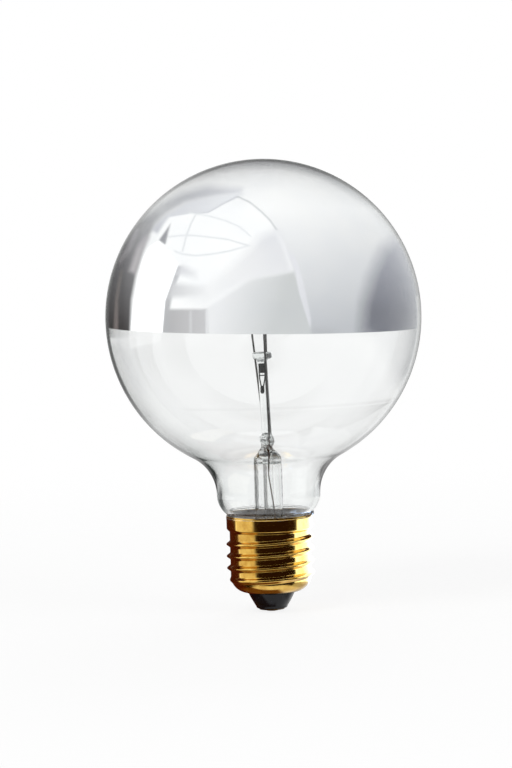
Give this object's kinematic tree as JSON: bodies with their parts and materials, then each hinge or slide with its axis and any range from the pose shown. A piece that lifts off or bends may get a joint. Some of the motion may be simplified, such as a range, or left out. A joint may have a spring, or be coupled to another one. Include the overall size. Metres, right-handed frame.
{
  "type": "globe lamp bulb",
  "caption": "Clear globe lamp with a mirrored upper half, a glass stem and wire mount inside, and a brass screw cap that holds and feeds it.",
  "frame": {"origin": "lowest point of the centre contact, on the lamp's axis", "axes": "+Z along the axis from the contact to the crown, -Y to the front, +X to the side solder"},
  "size_m": [0.095, 0.095, 0.1365],
  "materials": {
    "clear_glass": "clear, blown",
    "silver_film": "bright mirror",
    "nickel_wire": "drawn",
    "copper_clad_wire": "oxidised",
    "copper_wire": "drawn",
    "tungsten": "coiled wire",
    "dark_strip": "dark grey",
    "brass_sheet": "pressed, bright",
    "black_glass": "moulded, glossy",
    "solder": "dull",
    "cement": "baked, matt"
  },
  "bodies": {
    "root": {"basing_cement": "cement", "contact_lead": "copper_wire", "contact_plate": "brass_sheet", "contact_solder": "solder", "crown_mirror": "silver_film", "exhaust_tube": "clear_glass", "filament": "tungsten", "filament_support_1": "nickel_wire", "filament_support_2": "nickel_wire", "filament_support_3": "nickel_wire", "getter_flag": "dark_strip", "glass_globe": "clear_glass", "glass_rod": "clear_glass", "inner_lead_front": "nickel_wire", "inner_lead_rear": "nickel_wire", "insulator": "black_glass", "screw_shell": "brass_sheet", "seal_wire_front": "copper_clad_wire", "seal_wire_rear": "copper_clad_wire", "shell_lead": "copper_wire", "side_solder": "solder", "stem_flare": "clear_glass"}
  },
  "joints": []
}
